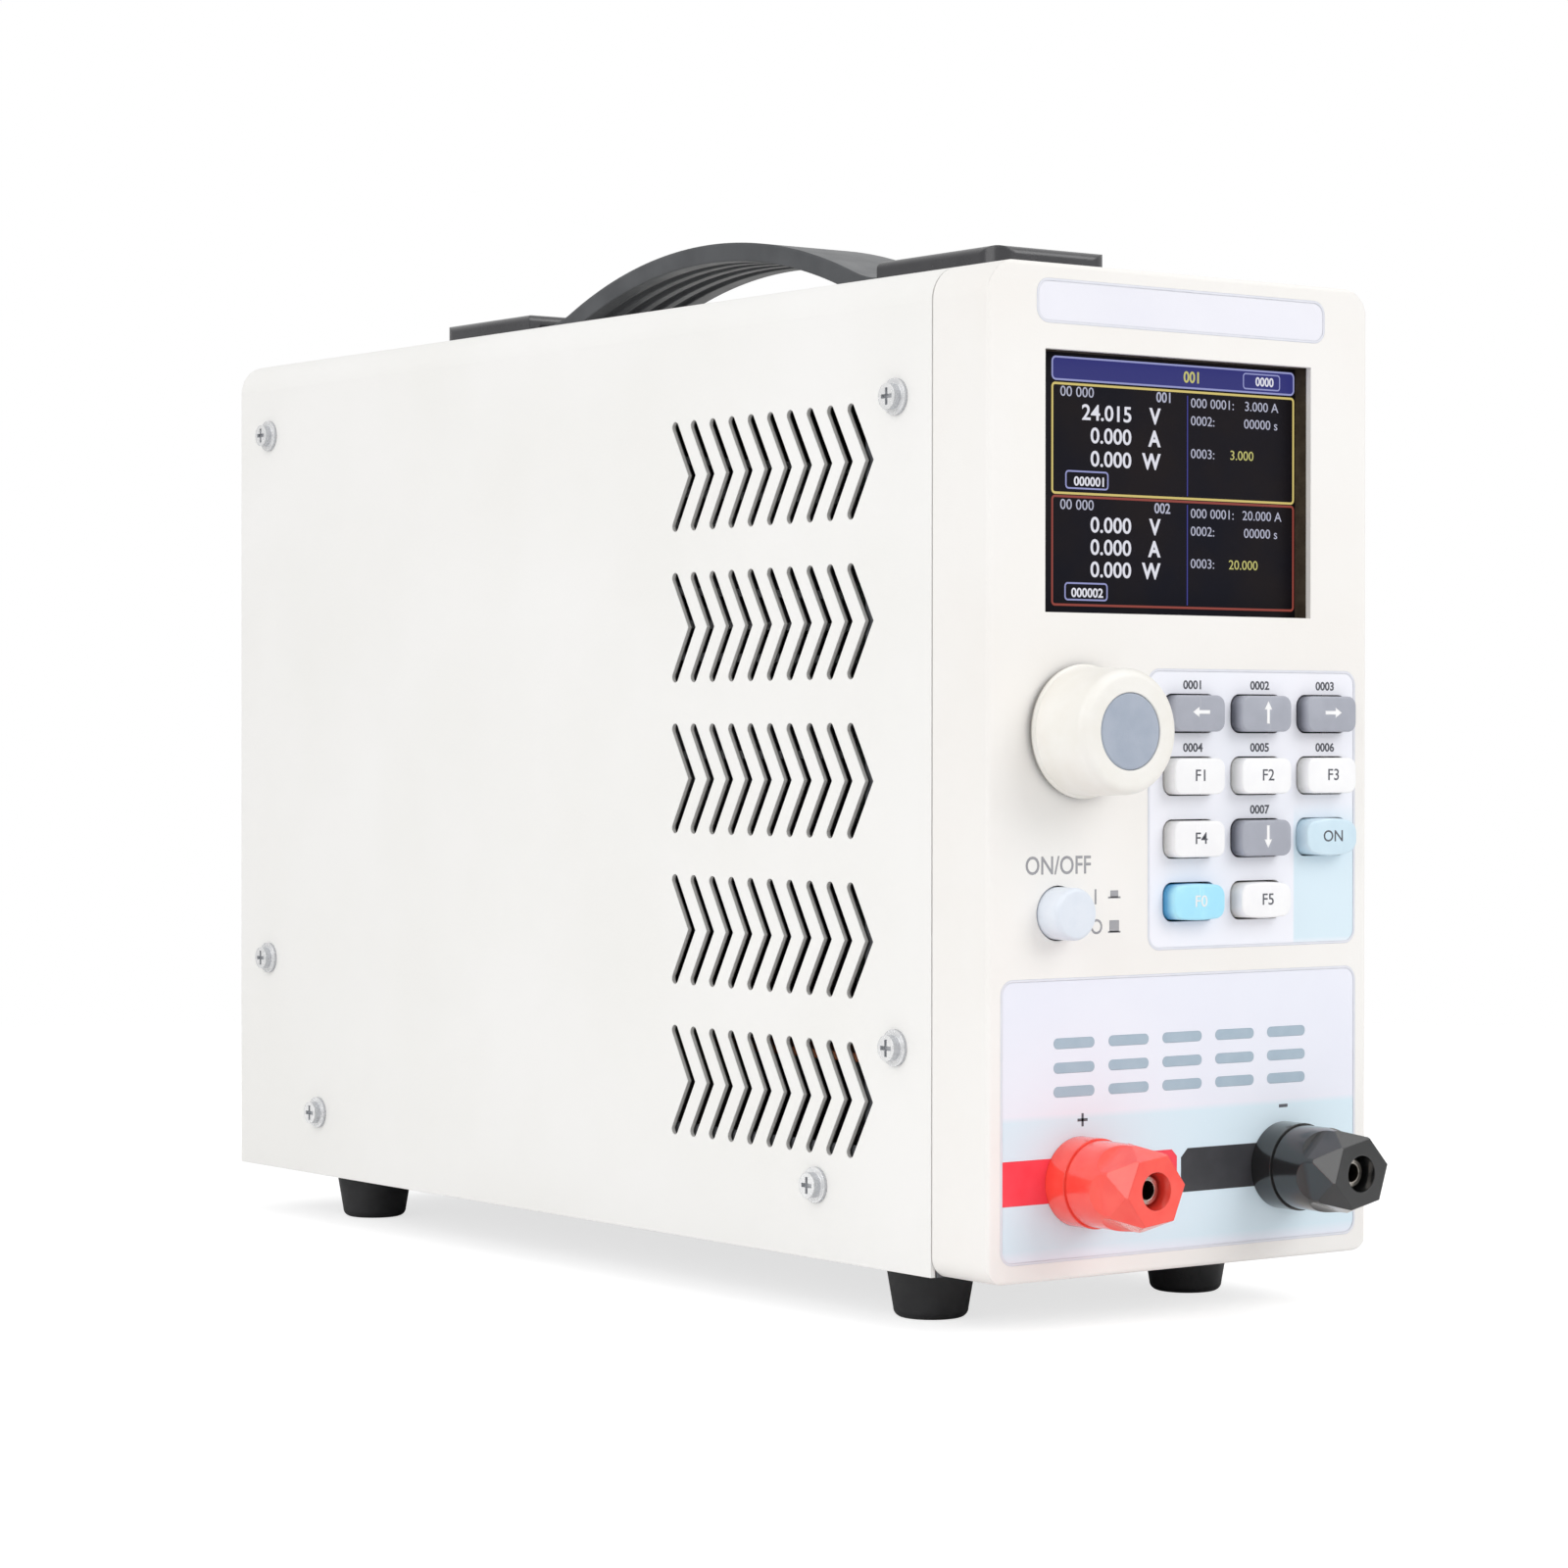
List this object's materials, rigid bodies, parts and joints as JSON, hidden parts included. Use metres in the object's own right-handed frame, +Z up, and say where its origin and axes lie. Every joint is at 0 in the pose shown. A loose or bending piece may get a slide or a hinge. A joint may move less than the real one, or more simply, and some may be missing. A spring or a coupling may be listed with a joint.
{
  "type": "dc electronic load",
  "caption": "Bench dc electronic load in a tall white steel case with colour display, keypad, rotary knob, red and black binding posts and strap handle.",
  "frame": {"origin": "on the bench, under the middle of the overall width and depth", "axes": "+X to the right seen from the front, +Y from the front to the rear, +Z up"},
  "size_m": [0.1156, 0.3482, 0.2486],
  "materials": {
    "case_paint": "fine-textured powder coat, warm white",
    "chassis_steel": "bare zinc-plated sheet",
    "bezel_plastic": "fine-grained cream moulding",
    "screw_steel": "bright nickel plate",
    "foot_rubber": "matt black rubber",
    "strap_rubber": "satin dark grey",
    "cap_plastic": "fine-grained dark grey",
    "lcd_glass": "dark display face",
    "board_green": "green solder mask",
    "film_print": "printed satin film",
    "key_grey": "satin grey",
    "key_white": "satin white",
    "key_ice": "milky light blue",
    "key_sky": "satin sky blue",
    "black_plastic": "matt black",
    "plated_metal": "nickel plate",
    "knob_plastic": "satin cream",
    "knob_disc": "satin blue grey",
    "button_plastic": "satin bluish white",
    "post_red": "smooth red",
    "post_black": "smooth black",
    "copper": "bare copper",
    "sink_alloy": "extruded, plain",
    "core_steel": "varnished laminations"
  },
  "bodies": {
    "case": {"rear_panel": "case_paint", "top_cover": "case_paint", "chassis_tray": "chassis_steel", "front_frame": "chassis_steel", "front_bezel": "bezel_plastic", "cover_screws": "screw_steel", "small_screws": "screw_steel", "large_screws": "screw_steel", "post_hardware": "screw_steel", "fan_guard": "screw_steel", "serial_port": "screw_steel", "foot_front_left": "foot_rubber", "foot_front_right": "foot_rubber", "foot_rear_left": "foot_rubber", "foot_rear_right": "foot_rubber", "display_gasket": "foot_rubber", "handle_strap": "strap_rubber", "handle_cap_front": "cap_plastic", "handle_cap_rear": "cap_plastic", "display_module": "lcd_glass", "front_board": "board_green", "power_board": "board_green", "keypad_overlay": "film_print", "input_overlay": "film_print", "title_overlay": "film_print", "key_switches": "black_plastic", "power_switch": "black_plastic", "transistors": "black_plastic", "fan_frame": "black_plastic", "mains_inlet": "black_plastic", "encoder_body": "plated_metal", "red_post_stud": "plated_metal", "black_post_stud": "plated_metal", "inlet_blades": "plated_metal", "red_post_base": "post_red", "black_post_base": "post_black", "copper_bars": "copper", "heat_sink": "sink_alloy", "transformer": "core_steel"},
    "key_left": {"key_left": "key_grey"},
    "key_up": {"key_up": "key_grey"},
    "key_right": {"key_right": "key_grey"},
    "key_f1": {"key_f1": "key_white"},
    "key_f2": {"key_f2": "key_white"},
    "key_f3": {"key_f3": "key_white"},
    "key_f4": {"key_f4": "key_white"},
    "key_down": {"key_down": "key_grey"},
    "key_on": {"key_on": "key_ice"},
    "key_blue": {"key_blue": "key_sky"},
    "key_f5": {"key_f5": "key_white"},
    "knob": {"knob": "knob_plastic", "knob_insert": "knob_disc", "encoder_shaft": "plated_metal"},
    "power_button": {"power_button": "button_plastic"},
    "red_washer": {"red_post_washer": "plated_metal"},
    "red_cap": {"red_post_cap": "post_red"},
    "black_washer": {"black_post_washer": "plated_metal"},
    "black_cap": {"black_post_cap": "post_black"},
    "fan": {"fan_rotor": "black_plastic"},
    "fuse_drawer": {"fuse_drawer": "black_plastic"}
  },
  "joints": [
    {"name": "key_left_press", "type": "slide", "parent": "case", "child": "key_left", "axis": [0, 1, 0], "range_m": [0, 0.001], "stiffness_N_per_m": 600},
    {"name": "key_up_press", "type": "slide", "parent": "case", "child": "key_up", "axis": [0, 1, 0], "range_m": [0, 0.001], "stiffness_N_per_m": 600},
    {"name": "key_right_press", "type": "slide", "parent": "case", "child": "key_right", "axis": [0, 1, 0], "range_m": [0, 0.001], "stiffness_N_per_m": 600},
    {"name": "key_f1_press", "type": "slide", "parent": "case", "child": "key_f1", "axis": [0, 1, 0], "range_m": [0, 0.001], "stiffness_N_per_m": 600},
    {"name": "key_f2_press", "type": "slide", "parent": "case", "child": "key_f2", "axis": [0, 1, 0], "range_m": [0, 0.001], "stiffness_N_per_m": 600},
    {"name": "key_f3_press", "type": "slide", "parent": "case", "child": "key_f3", "axis": [0, 1, 0], "range_m": [0, 0.001], "stiffness_N_per_m": 600},
    {"name": "key_f4_press", "type": "slide", "parent": "case", "child": "key_f4", "axis": [0, 1, 0], "range_m": [0, 0.001], "stiffness_N_per_m": 600},
    {"name": "key_down_press", "type": "slide", "parent": "case", "child": "key_down", "axis": [0, 1, 0], "range_m": [0, 0.001], "stiffness_N_per_m": 600},
    {"name": "key_on_press", "type": "slide", "parent": "case", "child": "key_on", "axis": [0, 1, 0], "range_m": [0, 0.001], "stiffness_N_per_m": 600},
    {"name": "key_blue_press", "type": "slide", "parent": "case", "child": "key_blue", "axis": [0, 1, 0], "range_m": [0, 0.001], "stiffness_N_per_m": 600},
    {"name": "key_f5_press", "type": "slide", "parent": "case", "child": "key_f5", "axis": [0, 1, 0], "range_m": [0, 0.001], "stiffness_N_per_m": 600},
    {"name": "knob_turn", "type": "hinge", "parent": "case", "child": "knob", "pos_m": [-0.0299, -0.14945, 0.1286], "axis": [0, 1, 0], "continuous": true},
    {"name": "power_press", "type": "slide", "parent": "case", "child": "power_button", "axis": [0, 1, 0], "range_m": [0, 0.003], "stiffness_N_per_m": 700},
    {"name": "red_washer_slide", "type": "slide", "parent": "case", "child": "red_washer", "axis": [0, -1, 0], "range_m": [0, 0.005]},
    {"name": "red_cap_turn", "type": "hinge", "parent": "red_washer", "child": "red_cap", "pos_m": [-0.0296, -0.16445, 0.0327], "axis": [0, -1, 0], "range_deg": [0, 1800]},
    {"name": "black_washer_slide", "type": "slide", "parent": "case", "child": "black_washer", "axis": [0, -1, 0], "range_m": [0, 0.005]},
    {"name": "black_cap_turn", "type": "hinge", "parent": "black_washer", "child": "black_cap", "pos_m": [0.0296, -0.16445, 0.0327], "axis": [0, -1, 0], "range_deg": [0, 1800]},
    {"name": "fan_spin", "type": "hinge", "parent": "case", "child": "fan", "pos_m": [0, 0.15455, 0.159], "axis": [0, 1, 0], "continuous": true},
    {"name": "fuse_drawer_slide", "type": "slide", "parent": "case", "child": "fuse_drawer", "axis": [0, 1, 0], "range_m": [0, 0.015]}
  ],
  "couplings": [
    {"joint": "red_cap_turn", "follows": "red_washer_slide", "rad_per_m": 6283},
    {"joint": "black_cap_turn", "follows": "black_washer_slide", "rad_per_m": 6283}
  ]
}
